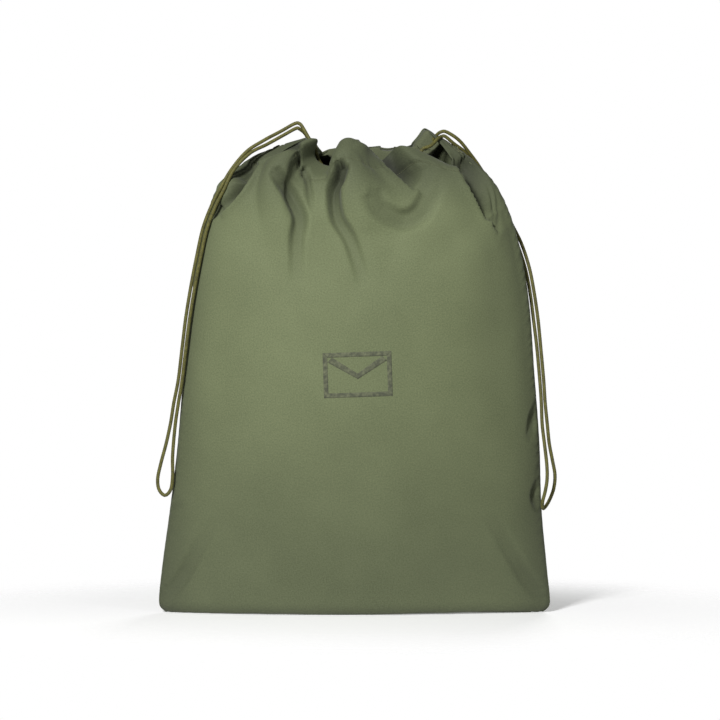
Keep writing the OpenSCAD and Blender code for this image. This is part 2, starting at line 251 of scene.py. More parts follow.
def braided_tube(name, *routes):
    """Closed tubes of round braid along routes, as one mesh, and the middle of each ring of each tube."""
    around = np.linspace(0, 2 * math.pi, BRAID_SIDES, endpoint=False)
    points, faces, heights, lines = [], [], [], []
    start = 0
    for route in routes:
        fine = spline(route, np.linspace(0, len(route) - 1, ROUTE_STEPS * len(route)))
        rings = max(4, int(length_of(fine) / BRAID_RING))
        line = evenly(fine, rings)
        height = braid_height(around[None, :], np.linspace(0, length_of(line), rings)[:, None])
        radius = CORD_D / 2 * (BRAID_SWELL - BRAID_RELIEF * (1 - height))
        tube_points, tube_faces = round_bar(line, radius, BRAID_SIDES, start)
        start += len(tube_points)
        points.append(tube_points)
        faces += tube_faces
        heights.append(height.ravel())
        lines.append(line)
    piece = new_mesh(name, np.concatenate(points), faces)
    relief = piece.data.attributes.new("relief", "FLOAT", "POINT")
    relief.data.foreach_set("value", np.concatenate(heights).astype(np.float32))
    return piece, lines


def free_cord(side, lead_upper, loop_route, lead_lower):
    """The part of a drawcord that lies outside the casings, out of one end of the mouth and back into it."""
    route = np.array(lead_upper + loop_route + lead_lower[::-1], float) * MM
    piece, (line,) = braided_tube(f"{side}_drawcord", route)
    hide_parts(f"{side}_cord_lead", f"{side}_cord_loop")
    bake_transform(piece)
    return piece, line


left_cord, left_line = free_cord(
    "left", LEFT_LEAD_UPPER, LEFT_LOOP_ROUTE, LEFT_LEAD_LOWER
)
right_cord, right_line = free_cord(
    "right", RIGHT_LEAD_UPPER, RIGHT_LOOP_ROUTE, RIGHT_LEAD_LOWER
)


# ---- the sack's cloth

CUT_W = 0.610  # flat size of each panel, seam to seam and seam to hem
CUT_H = 0.813
COLUMNS = 96  # squares of cloth across a panel and up it
ROWS = 128
OPEN_ROWS = 6  # rows below the hem that the side seams leave open for the cords
PINNED_ROWS = 3  # rows along the hem that stay in place in the simulation
FULL = 0.975  # the cloth's size in the simulation, a little small so that the filled sack is taut
HEM_STEPS = 2400  # steps of the fine curves that the even points are taken from
SECTION_STEPS = 801
PATH_STEPS = 120
BASE_STEPS, WALL_STEPS = 12, 340

# The filled sack at chosen heights: (height, left edge, right edge, half depth, how pointed the section is),
# the first four as shares of the height, half the width and half the depth.
OUTLINE = [
    (0.000, -0.963, 0.963, 0.46, 1.50),
    (0.019, -1.000, 1.000, 0.55, 1.50),
    (0.095, -0.984, 0.984, 0.69, 1.45),
    (0.218, -0.944, 0.957, 0.83, 1.35),
    (0.354, -0.905, 0.947, 0.92, 1.30),
    (0.503, -0.875, 0.921, 0.97, 1.25),
    (0.653, -0.836, 0.895, 1.00, 1.20),
    (0.776, -0.796, 0.845, 0.91, 1.10),
    (0.871, -0.730, 0.766, 0.76, 1.00),
    (0.932, -0.612, 0.664, 0.61, 0.80),
    (0.970, -0.477, 0.543, 0.50, 0.65),
    (1.000, -0.235, 0.395, 0.30, 0.60),
]

# The hem of each panel, gathered along the cords, from the left cord opening to the right one, in millimetres.
FRONT_HEM = [
    (-70, 2, 738), (-96, -3, 724), (-124, -9, 705), (-140, -18, 692), (-133, -30, 694), (-110, -40, 708),
    (-92, -44, 720), (-79, -42, 725), (-77, -52, 727), (-73, -60, 728), (-65, -63, 729), (-56, -58, 727),
    (-59, -46, 716), (-61, -38, 707), (-57, -34, 698), (-46, -33, 691), (-34, -34, 690), (-27, -40, 696),
    (-27, -50, 709), (-24, -60, 722), (-14, -66, 729), (-1, -66, 728), (10, -58, 720), (18, -44, 711),
    (26, -30, 708), (40, -28, 714), (60, -34, 720), (80, -40, 719), (106, -43, 709), (132, -41, 697),
    (152, -33, 687), (160, -20, 686), (148, -8, 706), (134, -2, 726), (122, 2, 740),
]
BACK_HEM = [
    (-70, 2, 738), (-84, 14, 732), (-86, 34, 726), (-72, 52, 722), (-60, 46, 720), (-54, 30, 716),
    (-44, 24, 716), (-36, 32, 720), (-34, 50, 724), (-20, 62, 726), (-8, 50, 724), (-6, 32, 720),
    (4, 24, 718), (14, 32, 722), (14, 50, 726), (28, 62, 728), (40, 50, 728), (42, 32, 724),
    (52, 24, 722), (62, 32, 724), (62, 48, 726), (76, 58, 727), (88, 46, 729), (90, 26, 731),
    (98, 20, 740), (107, 22, 752), (114, 12, 750), (122, 2, 740),
]
# How far below the hem a gather reaches, in metres, at shares of the way across from -1 to 1.
FRONT_REACH = [(-1, 0.11), (-0.75, 0.16), (-0.5, 0.20), (-0.35, 0.24), (-0.1, 0.22), (0.1, 0.24), (0.3, 0.12),
               (0.6, 0.14), (0.8, 0.16), (1, 0.12)]
BACK_REACH = [(-1, 0.12), (-0.6, 0.2), (0, 0.24), (0.6, 0.2), (1, 0.12)]

# Valleys pressed into the front between the gathers. Each has its path down the front as (x, z), its depths
# along the path, its widths to the left and right of it, and how far its left lip leans over it, in millimetres.
VALLEYS = [
    ([(-152, 694), (-163, 672), (-182, 645), (-205, 624), (-232, 606)], (8, 28, 26, 14, 0), 26, 9, -2),
    ([(-124, 680), (-110, 660), (-97, 640), (-84, 607), (-89, 570), (-89, 505)], (4, 15, 17, 14, 8, 0), 13, 17, 0),
    ([(-76, 686), (-68, 660), (-64, 615)], (9, 9, 0), 9, 6, -2),
    ([(-19, 689), (-26, 668), (-33, 650), (-27, 607), (-6, 570), (16, 500)], (22, 27, 23, 14, 8, 0), 13, 15, 0),
    ([(8, 726), (18, 716), (38, 696), (66, 671), (92, 653)], (14, 34, 38, 30, 5), 5, 42, 5),
    ([(156, 700), (163, 688), (176, 665), (192, 638), (207, 611)], (6, 25, 29, 24, 6), 9, 34, 2),
    ([(28, 646), (42, 620), (74, 605), (101, 618), (119, 655)], (2, 8, 9, 8, 2), 24, 20, 0),
    ([(-296, 14), (-262, 62), (-214, 150)], (0, 5, 0), 16, 16, 0),
    ([(300, 14), (262, 60), (205, 160)], (0, 5, 0), 16, 16, 0),
    ([(-286, 163), (-264, 168)], (4, 0), 8, 8, 0),
    ([(-304, 33), (-282, 40)], (4, 0), 8, 8, 0),
    ([(289, 330), (276, 305), (271, 276)], (0, 7, 2), 8, 12, 0),
    ([(286, 206), (278, 182), (286, 158)], (0, 7, 0), 8, 8, 0),
]
VALLEY_FLAT = 1.5  # above 1, the valleys have flat floors and steep walls
VALLEY_DARK = 0.026  # a valley this deep counts as a full fold, and gets the full painted shade
VALLEY_FADE = 5  # columns over which the valleys fade out beside a side seam
LIP_WIDTH = 0.012  # how far beside a valley its lip is raised and moved
LIP_RISE = 0.16  # how high, as a share of the valley's depth
ABRUPT_END = 2.5  # above its first point a valley is this many times narrower
POCKET = (-115, -80, 15)  # the slack stretch of the front casing: from x, to x, and how far it sinks in
POCKET_SIDES = (0.010, 0.007)
POCKET_Y = -0.025  # only the cloth in front of this sinks in
BODY_REACH = 12  # rows and columns averaged over to find the direction of the sack's own wall

# Where the cords run in the casings: the panels stay outside this, and slope away from it above and beside it.
INNER_X = (-0.060, 0.106)
INNER_Z = (0.676, 0.703)
INNER_Y = 0.0215


def hem_line(points):
    """The hem's curve at each column, with the columns drawn together where its points are close."""
    points = np.array(points, float) * MM
    line = spline(points, np.linspace(0, len(points) - 1, HEM_STEPS))
    gone = distances(line)
    place = (gone / gone[-1] + np.linspace(0, 1, len(line))) / 2
    wanted = np.linspace(0, 1, COLUMNS + 1)
    return np.stack([np.interp(wanted, place, line[:, k]) for k in range(3)], 1)


def smooth_sections(side, ups):
    """The sack's wall without gathers: a line of points across it for each row position in ups.
    The flat base is reached below row 0, where ups run from -1 at the bottom seam to 0."""
    across = np.linspace(-1, 1, SECTION_STEPS)
    sections = np.zeros((len(ups), COLUMNS + 1, 3))
    shares = np.array(OUTLINE)
    for k, up in enumerate(ups):
        height, left, right, deep, point = spline(shares, max(0, up))
        x = HALF_W * ((left + right) / 2 + (right - left) / 2 * np.sin(np.pi / 2 * across))
        y = HALF_D * deep * np.maximum(0, np.cos(np.pi / 2 * across)) ** point
        if up < 0:
            y = y * (up + 1)
        sections[k] = evenly(np.stack([x, y, np.full_like(x, height * SACK_H)], 1), COLUMNS + 1)
    sections[..., 1] *= side
    return sections


def path_shares(points, path):
    """For points (x, z): the signed distance to a path, left of it below zero as the path runs down,
    the share of the way along it, and the direction across it to the right. Above its start it ends abruptly."""
    line = spline(np.array(path, float) * MM, np.linspace(0, len(path) - 1, PATH_STEPS))
    gaps = np.linalg.norm(points[:, None, :] - line[None], axis=2)
    nearest = gaps.argmin(1)
    direction = np.gradient(line, axis=0)[nearest]
    offset = points - line[nearest]
    across = np.stack([-direction[:, 1], direction[:, 0]], 1)
    across /= np.linalg.norm(across, axis=1)[:, None]
    gap = gaps.min(1) * np.where(nearest == 0, ABRUPT_END, 1)
    return np.sign((across * offset).sum(1)) * gap, nearest / (len(line) - 1), across


def outward(grid, side):
    """The outward direction at each point of a panel's grid."""
    normal = np.cross(np.gradient(grid, axis=1), np.gradient(grid, axis=0))
    normal /= np.linalg.norm(normal, axis=2)[..., None] + 1e-12
    return normal if side < 0 else -normal


def evened(grid, reach, times=2, axes=(0, 1)):
    """The grid with its folds smoothed away, by averages over reach rows and columns each way."""
    for _ in range(times):
        for axis in axes:
            grid = np.moveaxis(grid, axis, 0)
            padded = np.concatenate([grid[:1].repeat(reach, 0), grid, grid[-1:].repeat(reach, 0)])
            sums = np.cumsum(np.concatenate([np.zeros_like(padded[:1]), padded]), axis=0)
            width = 2 * reach + 1
            grid = np.moveaxis((sums[width:] - sums[:-width]) / width, 0, axis)
    return grid


def press_valleys(grid):
    """Presses the valleys and the pocket into the front panel, and raises the valleys' lips.
    Also tells how deep each point lies, as a share of a full fold, which sets the painted shade in the folds and the
    pocket."""
    normal = outward(evened(grid, BODY_REACH), -1).reshape(-1, 3)
    points = grid.reshape(-1, 3).copy()
    flat = points[:, [0, 2]]
    inward = np.zeros(len(flat))
    lift = np.zeros(len(flat))
    lean = np.zeros((len(flat), 2))
    for path, depths, left, right, lip in VALLEYS:
        gap, share, across = path_shares(flat, path)
        depth = np.interp(share, np.linspace(0, 1, len(depths)), depths) * MM
        width = np.where(gap < 0, left, right) * MM
        inward = np.maximum(inward, depth * smooth(VALLEY_FLAT * (1 - np.abs(gap) / width)))
        if lip:
            beside = gap * np.sign(lip) + LIP_WIDTH / 2
            near = smooth(1 - np.abs(beside) / LIP_WIDTH)
            lift = np.maximum(lift, LIP_RISE * depth * near)
            lean += across * (lip * MM * near * depth / (max(depths) * MM))[:, None]
    column = np.arange(grid.shape[1])
    amount = np.tile(smooth(np.minimum(column, column[::-1]) / VALLEY_FADE), grid.shape[0])[:, None]
    points += amount * normal * (lift - inward)[:, None]
    points[:, [0, 2]] += amount * lean
    first, last, sunk = (v * MM for v in POCKET)
    row = np.arange(grid.shape[0])[:, None]
    above = smooth((row - (grid.shape[0] - 1 - STITCH_ROW)) / 2.5)
    between = smooth((grid[..., 0] - first) / POCKET_SIDES[0]) * smooth((last - grid[..., 0]) / POCKET_SIDES[1])
    pocket = above * between * (grid[..., 1] < POCKET_Y)
    pressed = points.reshape(grid.shape)
    pressed[..., 1] += sunk * pocket
    return pressed, np.maximum(inward.reshape(grid.shape[:2]) / VALLEY_DARK, pocket)


def clear_of_inner_cords(grid, side):
    """Keeps a panel outside the strands of the cords that pass behind it in the casings."""
    x, far, z = grid[..., 0], side * grid[..., 1], grid[..., 2]
    beyond = np.maximum(np.maximum(INNER_Z[0] - z, z - INNER_Z[1]), np.maximum(INNER_X[0] - x, x - INNER_X[1]))
    grid[..., 1] = side * np.maximum(far, INNER_Y - np.maximum(0, beyond))
    return grid


def start_panel(side, hem, reach):
    """A panel before the simulation: the filled sack's wall, drawn in at the top to the gathered hem."""
    ups = np.r_[np.linspace(-1, 0, BASE_STEPS)[:-1], np.linspace(0, len(OUTLINE) - 1, WALL_STEPS)]
    wall = smooth_sections(side, ups)
    shift = hem_line(hem) - wall[-1]
    across = np.linspace(-1, 1, COLUMNS + 1)
    lengths = np.interp(across, [a for a, _ in reach], [b for _, b in reach])
    below = SACK_H - wall[:, 0, 2]
    wall = wall + smooth(1 - below[:, None] / lengths[None, :])[..., None] * shift[None]
    return np.stack([evenly(wall[:, c], ROWS + 1) for c in range(COLUMNS + 1)], 1)


FLAT_APART = 0.02  # in the flat cut, the back panel lies this far behind the front one


def start_cloth():
    """Both panels as one mesh, joined along the seams: points, flat points, faces, and the number of each place."""
    grids = {-1: start_panel(-1, FRONT_HEM, FRONT_REACH), 1: start_panel(1, BACK_HEM, BACK_REACH)}
    numbers = {}
    points, flat = [], []

    def number(side, r, c):
        on_seam = r == 0 or (c in (0, COLUMNS) and r <= ROWS - OPEN_ROWS)
        key = (0 if on_seam else side, r, c)
        if key not in numbers:
            numbers[key] = len(points)
            points.append((grids[-1][r, c] + grids[1][r, c]) / 2 if on_seam else grids[side][r, c])
            x, z = FULL * (c / COLUMNS - 0.5) * CUT_W, FULL * r / ROWS * CUT_H
            flat.append((x, FLAT_APART if key[0] > 0 else 0.0, z))
        return numbers[key]

    faces = []
    for side in (-1, 1):
        for r in range(ROWS):
            for c in range(COLUMNS):
                quad = [number(side, r, c), number(side, r, c + 1), number(side, r + 1, c + 1), number(side, r + 1, c)]
                faces.append(quad if side < 0 else quad[::-1])
    return np.array(points), np.array(flat), faces, numbers


GOAL_SEAM = 0.9  # how firmly the side seams, the body and the gathered top keep their places, 0 to 1
GOAL_BODY = 0.03
GOAL_TOP = 0.45
TOP_FROM, TOP_TO = 0.56, 0.66
SIM_FRAMES = 22
SIM_CLOTH = {
    "quality": 6, "mass": 0.05, "tension_stiffness": 50, "compression_stiffness": 50, "shear_stiffness": 15,
    "bending_stiffness": 2.5, "tension_damping": 15, "compression_damping": 15, "shear_damping": 15,
    "bending_damping": 2, "air_damping": 4, "vertex_group_mass": "held", "pin_stiffness": 1,
    "use_pressure": True, "uniform_pressure_force": 1.8,
}
SIM_CONTACT = {"collision_quality": 3, "distance_min": 0.002, "use_self_collision": True, "self_distance_min": 0.0025}


def goal_weights(points, numbers):
    """How firmly each point of the cloth keeps its place: the base and the hem fully, the body hardly."""
    goals = GOAL_BODY + (GOAL_TOP - GOAL_BODY) * smooth((points[:, 2] - TOP_FROM) / (TOP_TO - TOP_FROM))
    for (side, r, _), i in numbers.items():
        if r == 0 or r > ROWS - PINNED_ROWS:
            goals[i] = 1
        elif side == 0:
            goals[i] = GOAL_SEAM
    return goals


def settle(piece, flat, goals):
    """Blender's cloth simulation: the flat cut, filled from inside, settles between its seams and its gathers."""
    piece.shape_key_add(name="Basis")
    cut = piece.shape_key_add(name="Cut")
    cut.data.foreach_set("co", flat.astype(np.float32).ravel())
    cut.value = 0
    group = piece.vertex_groups.new(name="held")
    for i, goal in enumerate(goals):
        group.add([i], float(goal), "REPLACE")
    scene.gravity = (0, 0, 0)
    cloth = piece.modifiers.new("cloth", "CLOTH")
    for key, value in SIM_CLOTH.items():
        setattr(cloth.settings, key, value)
    cloth.settings.rest_shape_key = cut
    for key, value in SIM_CONTACT.items():
        setattr(cloth.collision_settings, key, value)
    cloth.point_cache.frame_start = 1
    cloth.point_cache.frame_end = SIM_FRAMES
    for number in range(1, SIM_FRAMES + 1):
        scene.frame_set(number)
    settled = piece.evaluated_get(bpy.context.evaluated_depsgraph_get()).to_mesh()
    points = np.empty(3 * len(settled.vertices), np.float32)
    settled.vertices.foreach_get("co", points)
    piece.modifiers.clear()
    piece.shape_key_clear()
    piece.vertex_groups.clear()
    scene.frame_set(1)
    return points.reshape(-1, 3).astype(float)


CLOTH_T = 0.0013
CORD_CLEARANCE = 0.0004
CORD_SLOPE = 0.9  # slope of the sides of the groove that a cord lies in
CORD_NEAR = 0.024  # cloth farther than this from the middle of a cord stays as it is
GROOVE = 3  # half the greatest width of the groove, as a multiple of the room that a cord needs
SEARCH = 0.03  # how far round a cord the cloth is looked at
OTHER_SIDE = 0.006  # a panel makes room only for the cord that lies less than this past the middle plane
MOST_MOVE = 0.016  # how far the simulation may move a point
FINER = 2  # rows and columns of the final cloth for each one of the simulation
CASING_H = 0.043  # from the hem down to the casing stitches
STITCH_ROW = int(CASING_H / CUT_H * ROWS * FINER)
CALM_FROM, CALM_TO = 0.50, 0.64  # heights between which the simulation's wrinkles come to show
LOWEST = 0.0003


def make_room_for_cords(grid, side):
    """Presses the cloth in where a drawcord lies on it, with sloping sides to the groove."""
    points = grid.reshape(-1, 3)
    normals = outward(evened(grid, 4), side).reshape(-1, 3)
    needed = CORD_D / 2 + CORD_CLEARANCE
    block = 2000          # points looked at together
    depth = np.zeros(len(points))
    for cord in (left_line[::4], right_line[::4]):
        line = cord[side * cord[:, 1] > -OTHER_SIDE]
        low = line.min(0) - SEARCH
        high = line.max(0) + SEARCH
        near = np.where(((points > low) & (points < high)).all(1))[0]
        for start in range(0, len(near), block):
            part = near[start : start + block]
            gaps = np.linalg.norm(points[part][:, None, :] - line[None], axis=2)
            above = ((line[gaps.argmin(1)] - points[part]) * normals[part]).sum(1)
            gap = gaps.min(1)
            aside = np.sqrt(np.maximum(0, gap**2 - above**2))
            reach = np.sqrt(np.maximum(0, needed**2 - aside**2)) - np.maximum(0, aside - needed) * CORD_SLOPE
            move = np.where((aside < GROOVE * needed) & (gap < CORD_NEAR), np.maximum(0, reach - above), 0)
            depth[part] = np.maximum(depth[part], move)
    depth = depth.reshape(*grid.shape[:2], 1)
    return grid - normals.reshape(grid.shape) * np.maximum(depth, evened(depth, 1))


def finer_grid(grid, times=FINER):
    """The same surface with more rows and columns."""
    for axis in (0, 1):
        lines = np.moveaxis(grid, axis, 0)
        count = len(lines)
        stretched = spline(lines.reshape(count, -1), np.linspace(0, count - 1, (count - 1) * times + 1))
        grid = np.moveaxis(stretched.reshape(-1, *lines.shape[1:]), 0, axis)
    return grid


def calmed(start, settled):
    """The settled panel without the small wrinkles of the simulation: hardly any in the body, few at the top."""
    moved = settled - start
    column = np.arange(start.shape[1])
    from_edge = smooth(np.minimum(column, column[::-1]) / 8)[None, :, None]
    top = smooth((start[..., 2] - CALM_FROM) / (CALM_TO - CALM_FROM))[..., None]
    seams = np.where(column < len(column) / 2, 0, -1)
    along = evened(moved, 7, axes=(0,))[:, seams]
    inside = top * evened(moved, 3) + (1 - top) * evened(moved, 8)
    return start + along + from_edge * (inside - along)


def settled_grids():
    """The outer surface of the front and the back panel, as grids of points from the bottom seam up to the hem."""
    points, flat, faces, numbers = start_cloth()
    settled = points
    whole = new_mesh("cloth", points, faces)
    moved = settle(whole, flat, goal_weights(points, numbers)) - points
    far = np.linalg.norm(moved, axis=1)[:, None]
    settled = points + moved * np.minimum(1, MOST_MOVE / np.maximum(far, 1e-9))
    bpy.data.objects.remove(whole)
    grids = {}
    for side in (-1, 1):
        places = np.array([
            [numbers[(side, r, c) if (side, r, c) in numbers else (0, r, c)] for c in range(COLUMNS + 1)]
            for r in range(ROWS + 1)
        ])
        grids[side] = calmed(finer_grid(points[places]), finer_grid(settled[places]))
    seam = slice(0, (ROWS - OPEN_ROWS) * FINER + 1)
    for column in (0, -1):
        middle = (grids[-1][seam, column] + grids[1][seam, column]) / 2
        grids[-1][seam, column] = grids[1][seam, column] = middle
    return grids


SEAM_DRAW = 0.0009  # how far the thread draws the cloth in at a side seam and at the casing stitches
CASING_DRAW = 0.0014
PUCKER = 0.0005  # height of the puckers along a side seam, and of the gathers along the casing stitches
GATHER = 0.0008


def sew(grid, side):
    """Draws the cloth in along its seams and its casing stitches, with the small puckers that the thread pulls."""
    normals = outward(grid, side)
    rows, columns = grid.shape[:2]
    row = np.arange(rows)[:, None]
    column = np.arange(columns)[None, :]
    from_edge = np.minimum(column, columns - 1 - column)
    seam = smooth(1 - from_edge / 3) * SEAM_DRAW * (row < rows - OPEN_ROWS * FINER)
    pucker = PUCKER * np.sin(row * 1.15 + 1.4 * np.sin(row * 0.37)) * smooth(1 - np.abs(from_edge - 3) / 4)
    from_stitches = np.abs(row - (rows - 1 - STITCH_ROW))
    casing = smooth(1 - from_stitches / 2.2) * CASING_DRAW
    gather = GATHER * np.sin(column * 1.5 + 1.7 * np.sin(column * 0.31)) * smooth(1 - from_stitches / 6)
    return grid + normals * (gather + pucker - seam - casing)[..., None]


# Painted shade on the cloth: how much darker it is painted in a fold, low down, at the bottom edge, at the mouth and
# beside the side seams, and how deep, high or far each of these reaches.
FOLD_PAINTED_SHADE, FOLD_MOST = 0.66, 1.2
LOW_PAINTED_SHADE, LOW_H = 0.40, 0.42
BOTTOM_EDGE_PAINTED_SHADE, EDGE_H = 0.25, 0.022
MOUTH_PAINTED_SHADE, MOUTH_FROM, MOUTH_OVER = 0.48, 0.60, 0.10
SIDE_PAINTED_SHADE, SIDE_COLUMNS = 0.30, 24


def painted_shade(grid, folded):
    """How much painted shade each point gets: in the folds, low down, at the bottom edge, at the mouth and beside the
    side seams.
    """
    height = grid[..., 2]
    column = np.arange(grid.shape[1])
    from_edge = np.minimum(column, column[::-1])[None, :]
    # each factor below darkens the colour as painted shade, not as dirt
    unshaded = 1 - FOLD_PAINTED_SHADE * np.clip(folded, 0, FOLD_MOST)
    unshaded *= 1 - LOW_PAINTED_SHADE * smooth(1 - height / LOW_H)
    unshaded *= 1 - BOTTOM_EDGE_PAINTED_SHADE * smooth(1 - height / EDGE_H)
    unshaded *= 1 - MOUTH_PAINTED_SHADE * smooth((height - MOUTH_FROM) / MOUTH_OVER)
    unshaded *= 1 - SIDE_PAINTED_SHADE * smooth(1 - from_edge / SIDE_COLUMNS)
    return 1 - unshaded


def cloth_shell(name, grid, side, uv_from=0.0, dark=None):
    """A closed sheet of cloth under a grid of outer points, with its flat cut as its UV map, and any painted shade
    given stored as an attribute.
    """
    rows, columns = grid.shape[:2]
    points, faces = closed_sheet(grid, outward(grid, side), CLOTH_T)
    piece = new_mesh(name, points, faces.tolist())
    u, v = np.meshgrid(np.linspace(0, CUT_W, columns), uv_from + np.arange(rows) * CUT_H / ROWS / FINER)
    flat = np.tile(np.stack([u, v], 2).reshape(-1, 2), (2, 1))
    layer = piece.data.uv_layers.new(name="Cut")
    layer.data.foreach_set("uv", flat[faces.ravel()].astype(np.float32).ravel())
    if dark is not None:
        # the painted shade, which the cloth material uses to darken the colour
        shade = piece.data.attributes.new("painted_shade", "FLOAT", "POINT")
        shade.data.foreach_set("value", np.tile(dark.ravel(), 2).astype(np.float32))
    return piece


def belongs(piece, node, body="sack"):
    """Puts a piece on its body, in place of a CAD node."""
    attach(piece, body)
    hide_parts(node)


def make_panels():
    """The two cloth panels, and the grids of their outer surfaces."""
    grids = settled_grids()
    grids[-1], folded = press_valleys(grids[-1])
    panels = {}
    for side, name in ((-1, "front"), (1, "back")):
        grid = sew(clear_of_inner_cords(grids[side], side), side)
        grid = make_room_for_cords(grid, side)
        grid[..., 2] = np.maximum(grid[..., 2], LOWEST)
        grids[side] = grid
        # painted shade: darker in the folds, low down, at the bottom edge, at the mouth and beside the side seams
        dark = painted_shade(grid, folded if side < 0 else 0 * folded)
        panels[side] = cloth_shell(f"{name}_cloth", grid, side, dark=dark)
        belongs(panels[side], f"{name}_panel")
    return grids, panels


cloth_grids, cloth_panels = make_panels()


# ---- casings and the cords inside them

MOUTH_Y = 0.0105  # how near the casings come to the middle plane of the mouth
HEM_GAP = 1.15  # from a panel's outer surface to its turned hem, in thicknesses of cloth
STRAND_Y = 16  # in millimetres: how far each strand in the casings is from the middle plane,
RUN_Z = {"left": 681, "right": 691}  # how high each cord runs there,
TURN_GAP = 0.6  # and the gap between a sliding strand and its far turn
WHIPPING = 0.0009  # thickness of the thread wound round a splice, and the height of its ridges
WHIPPING_RIDGE = 0.0003


def make_casing(side, name):
    """The turned hem inside a panel's top edge, down to the casing stitches, held off it by the cords."""
    inside = cloth_grids[side] - HEM_GAP * CLOTH_T * outward(cloth_grids[side], side)
    sheet = inside[-1 - STITCH_ROW : -1].copy()
    share = np.linspace(0, 1, len(sheet))[:, None]
    belly = np.minimum(1, 2.2 * np.sin(np.pi * share)) ** 0.8
    far = side * sheet[..., 1]
    sheet[..., 1] = side * (far + belly * (np.minimum(far, MOUTH_Y) - far))
    piece = cloth_shell(f"{name}_hem", sheet, -side, uv_from=CUT_H)
    belongs(piece, f"{name}_casing")
    return piece


def make_inner_cord(side, start, dip, end, bend, splice):
    """The part of a drawcord inside the casings: two sliding strands, the far turn, and the splice, in millimetres."""
    z = RUN_Z[side]
    strands = [
        [(start[0] + dx, y, start[1] + dz) for dx, dz in dip] + [(end, y, z)]
        for y in (-STRAND_Y, STRAND_Y)
    ]
    runs, _ = braided_tube(f"{side}_inner_cord", *(np.array(s, float) * MM for s in strands))
    belongs(runs, f"{side}_cord_run", f"{side}_cord")
    toward = 1 if side == "left" else -1
    begin = end + toward * TURN_GAP
    half_circle = np.linspace(0, math.pi, 9)[1:-1]
    turn = [(begin, -STRAND_Y, z), (bend, -STRAND_Y, z)]
    turn += [(bend + toward * STRAND_Y * math.sin(a), -STRAND_Y * math.cos(a), z) for a in half_circle]
    turn += [(bend, STRAND_Y, z), (begin, STRAND_Y, z)]
    back, _ = braided_tube(f"{side}_back_turn", np.array(turn, float) * MM)
    belongs(back, f"{side}_cord_far_turn")
    rings = 65
    line = np.stack([np.linspace(*splice, rings), np.full(rings, -float(STRAND_Y)), np.full(rings, float(z))], 1) * MM
    ridges = np.abs(np.sin(np.arange(rings) * math.pi / 4))
    wrap = (CORD_D / 2 + WHIPPING + WHIPPING_RIDGE * ridges)[:, None]
    whipping = bars(f"{side}_splice", [line], wrap, 24)
    belongs(whipping, f"{side}_cord_splice", f"{side}_cord")
    return [runs, back], whipping


hems = [make_casing(-1, "front"), make_casing(1, "back")]
left_inside, left_splice = make_inner_cord(
    "left", (-62, 727), [(0, 0), (1.2, -4), (2, -11), (4.5, -21), (10, -33), (19, -42), (31, -46), (60, -46)],
    44, 72, (26, 42),
)
right_inside, right_splice = make_inner_cord(
    "right", (108, 719), [(0, 0), (-4, -4), (-9, -12), (-15, -20), (-22, -26), (-32, -28), (-60, -28)],
    4, -12, (22, 6),
)


# ---- seams, stitches and the print

THREAD_R = 0.0004
TACK_R = 0.0009
CASING_PITCH, CASING_STITCH = 0.0042, 0.72  # from stitch to stitch, and the share of that which shows
SEAM_PITCH, SEAM_STITCH = 0.0060, 0.6
ALLOWANCE_FROM, ALLOWANCE_TO = 0.003, 0.010  # how far inside a side seam its folded allowance lies,
ALLOWANCE_TOP = 0.0045  # and where it ends at the top of the seam
ALLOWANCE_HALF = 0.0012  # half its thickness
ALLOWANCE_GAP = 0.0028  # from a panel's outer surface to the middle of the allowance inside it


def stitches(line, pitch, share):
    """Short lines, one for each stitch of a row of stitches along a line."""
    gone = distances(line)
    cuts = []
    for begin in np.arange(pitch / 2, gone[-1] - pitch, pitch):
        at = np.linspace(begin, begin + pitch * share, 4)
        cuts.append(np.stack([np.interp(at, gone, line[:, k]) for k in range(3)], 1))
    return cuts


def make_casing_stitches(side, name):
    """The row of stitches through a panel that holds its casing shut."""
    grid = cloth_grids[side]
    row = -1 - STITCH_ROW
    line = grid[row] + 0.0001 * outward(grid, side)[row]
    piece = bars(f"{name}_hem_stitches", stitches(line[4:-4], CASING_PITCH, CASING_STITCH), THREAD_R)
    belongs(piece, f"{name}_casing_stitching")
    return piece


